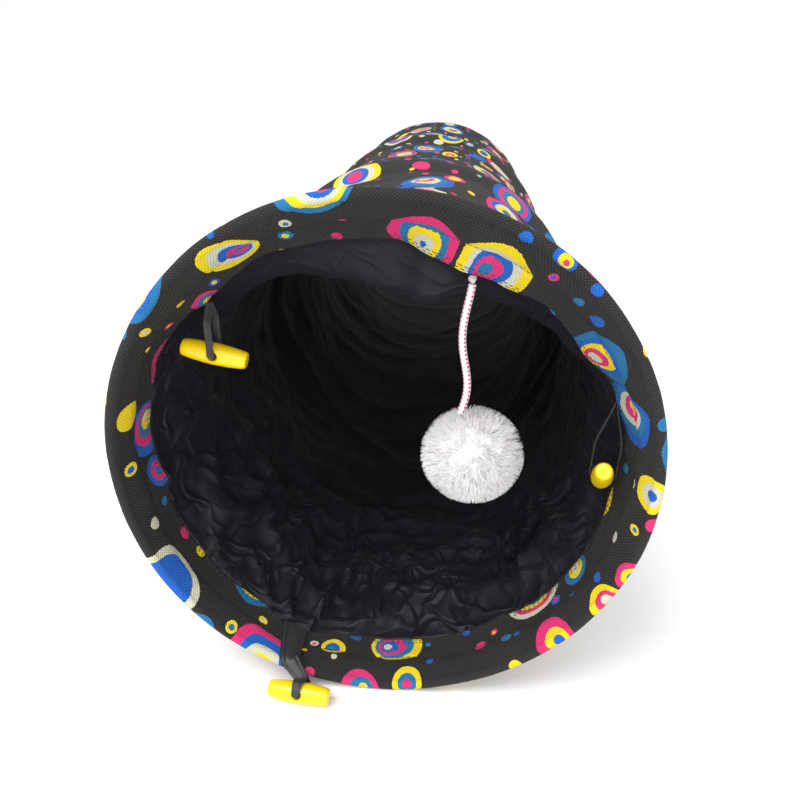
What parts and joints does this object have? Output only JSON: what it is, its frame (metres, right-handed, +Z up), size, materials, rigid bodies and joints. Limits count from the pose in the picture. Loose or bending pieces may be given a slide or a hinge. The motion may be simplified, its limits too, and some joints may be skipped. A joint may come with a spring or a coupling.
{
  "type": "collapsible cat tunnel",
  "caption": "Printed fabric crawl tunnel on steel hoops that folds flat, with a dark lining, closing toggles at one mouth and a pompom hanging inside it.",
  "frame": {"origin": "on the floor under the middle of the whole tunnel", "axes": "+Y along the tunnel from the near mouth, which has the toggles, to the far mouth; +Z up"},
  "size_m": [0.299, 0.9187, 0.2991],
  "materials": {
    "printed_canvas": "coarse woven canvas with a printed pattern of coloured rings",
    "dark_taffeta": "thin lining with a soft sheen",
    "spring_steel": "drawn wire",
    "crimped_aluminium": "satin",
    "yellow_plastic": "glossy",
    "black_tape": "woven tape",
    "black_elastic": "round braided elastic",
    "braided_elastic": "white braid with pink flecks",
    "pale_plush": "long soft pile"
  },
  "bodies": {
    "near_end": {"near_hem": "printed_canvas", "near_facing": "printed_canvas", "near_hoop_wire": "spring_steel", "near_hoop_ferrule": "crimped_aluminium", "cover": "printed_canvas", "lining": "dark_taffeta"},
    "middle_hoop_1": {"middle_hoop_1_sleeve": "printed_canvas", "middle_hoop_1_wire": "spring_steel", "middle_hoop_1_ferrule": "crimped_aluminium"},
    "middle_hoop_2": {"middle_hoop_2_sleeve": "printed_canvas", "middle_hoop_2_wire": "spring_steel", "middle_hoop_2_ferrule": "crimped_aluminium"},
    "far_end": {"far_hem": "printed_canvas", "far_facing": "printed_canvas", "far_hoop_wire": "spring_steel", "far_hoop_ferrule": "crimped_aluminium", "catch_loop_1": "black_elastic", "catch_loop_2": "black_elastic", "catch_loop_3": "black_elastic"},
    "toggle_tape_1": {"toggle_tape_1": "black_tape"},
    "toggle_1": {"toggle_1": "yellow_plastic"},
    "toggle_tape_2": {"toggle_tape_2": "black_tape"},
    "toggle_2": {"toggle_2": "yellow_plastic"},
    "toggle_tape_3": {"toggle_tape_3": "black_tape"},
    "toggle_3": {"toggle_3": "yellow_plastic"},
    "string_top": {"string_knot": "braided_elastic"},
    "pompom": {"pompom_string": "braided_elastic", "pompom": "pale_plush"}
  },
  "joints": [
    {"name": "fold", "type": "slide", "parent": "near_end", "child": "far_end", "axis": [0, 1, 0], "range_m": [-0.80549, 0], "deforming": ["cover", "lining", "far_facing"]},
    {"name": "middle_hoop_1_slide", "type": "slide", "parent": "near_end", "child": "middle_hoop_1", "axis": [0, 1, 0], "range_m": [-0.24149, 0]},
    {"name": "middle_hoop_2_slide", "type": "slide", "parent": "near_end", "child": "middle_hoop_2", "axis": [0, 1, 0], "range_m": [-0.52349, 0]},
    {"name": "toggle_1_swing", "type": "hinge", "parent": "near_end", "child": "toggle_tape_1", "pos_m": [-0.0966, -0.40017, 0.23234], "axis": [1, 0, 0], "range_deg": [-25, 30]},
    {"name": "toggle_1_tip", "type": "hinge", "parent": "toggle_tape_1", "child": "toggle_1", "pos_m": [-0.0966, -0.40017, 0.20204], "axis": [0, 1, 0], "range_deg": [-75, 75]},
    {"name": "toggle_2_swing", "type": "hinge", "parent": "near_end", "child": "toggle_tape_2", "pos_m": [0.12907, -0.39839, 0.17934], "axis": [1, 0, 0], "range_deg": [-18, 30]},
    {"name": "toggle_2_tip", "type": "hinge", "parent": "toggle_tape_2", "child": "toggle_2", "pos_m": [0.12457, -0.40439, 0.13554], "axis": [-0.9717, 0.2261, 0.0689], "range_deg": [-75, 75]},
    {"name": "toggle_3_lift", "type": "hinge", "parent": "near_end", "child": "toggle_tape_3", "pos_m": [-0.05752, -0.41366, 0.02255], "axis": [1, 0, 0], "range_deg": [-140, 0]},
    {"name": "toggle_3_tip", "type": "hinge", "parent": "toggle_tape_3", "child": "toggle_3", "pos_m": [-0.04853, -0.45188, 0.00645], "axis": [-0.1214, -0.8981, 0.4226], "range_deg": [-20, 20]},
    {"name": "pompom_swing", "type": "hinge", "parent": "near_end", "child": "string_top", "pos_m": [0.04612, -0.41106, 0.25026], "axis": [1, 0, 0], "range_deg": [-80, 60]},
    {"name": "pompom_sway", "type": "hinge", "parent": "string_top", "child": "pompom", "pos_m": [0.04612, -0.41106, 0.25026], "axis": [0, 1, 0], "range_deg": [-20, 55]}
  ],
  "couplings": [
    {"joint": "middle_hoop_1_slide", "follows": "fold", "ratio": 0.2998},
    {"joint": "middle_hoop_2_slide", "follows": "fold", "ratio": 0.6499}
  ]
}
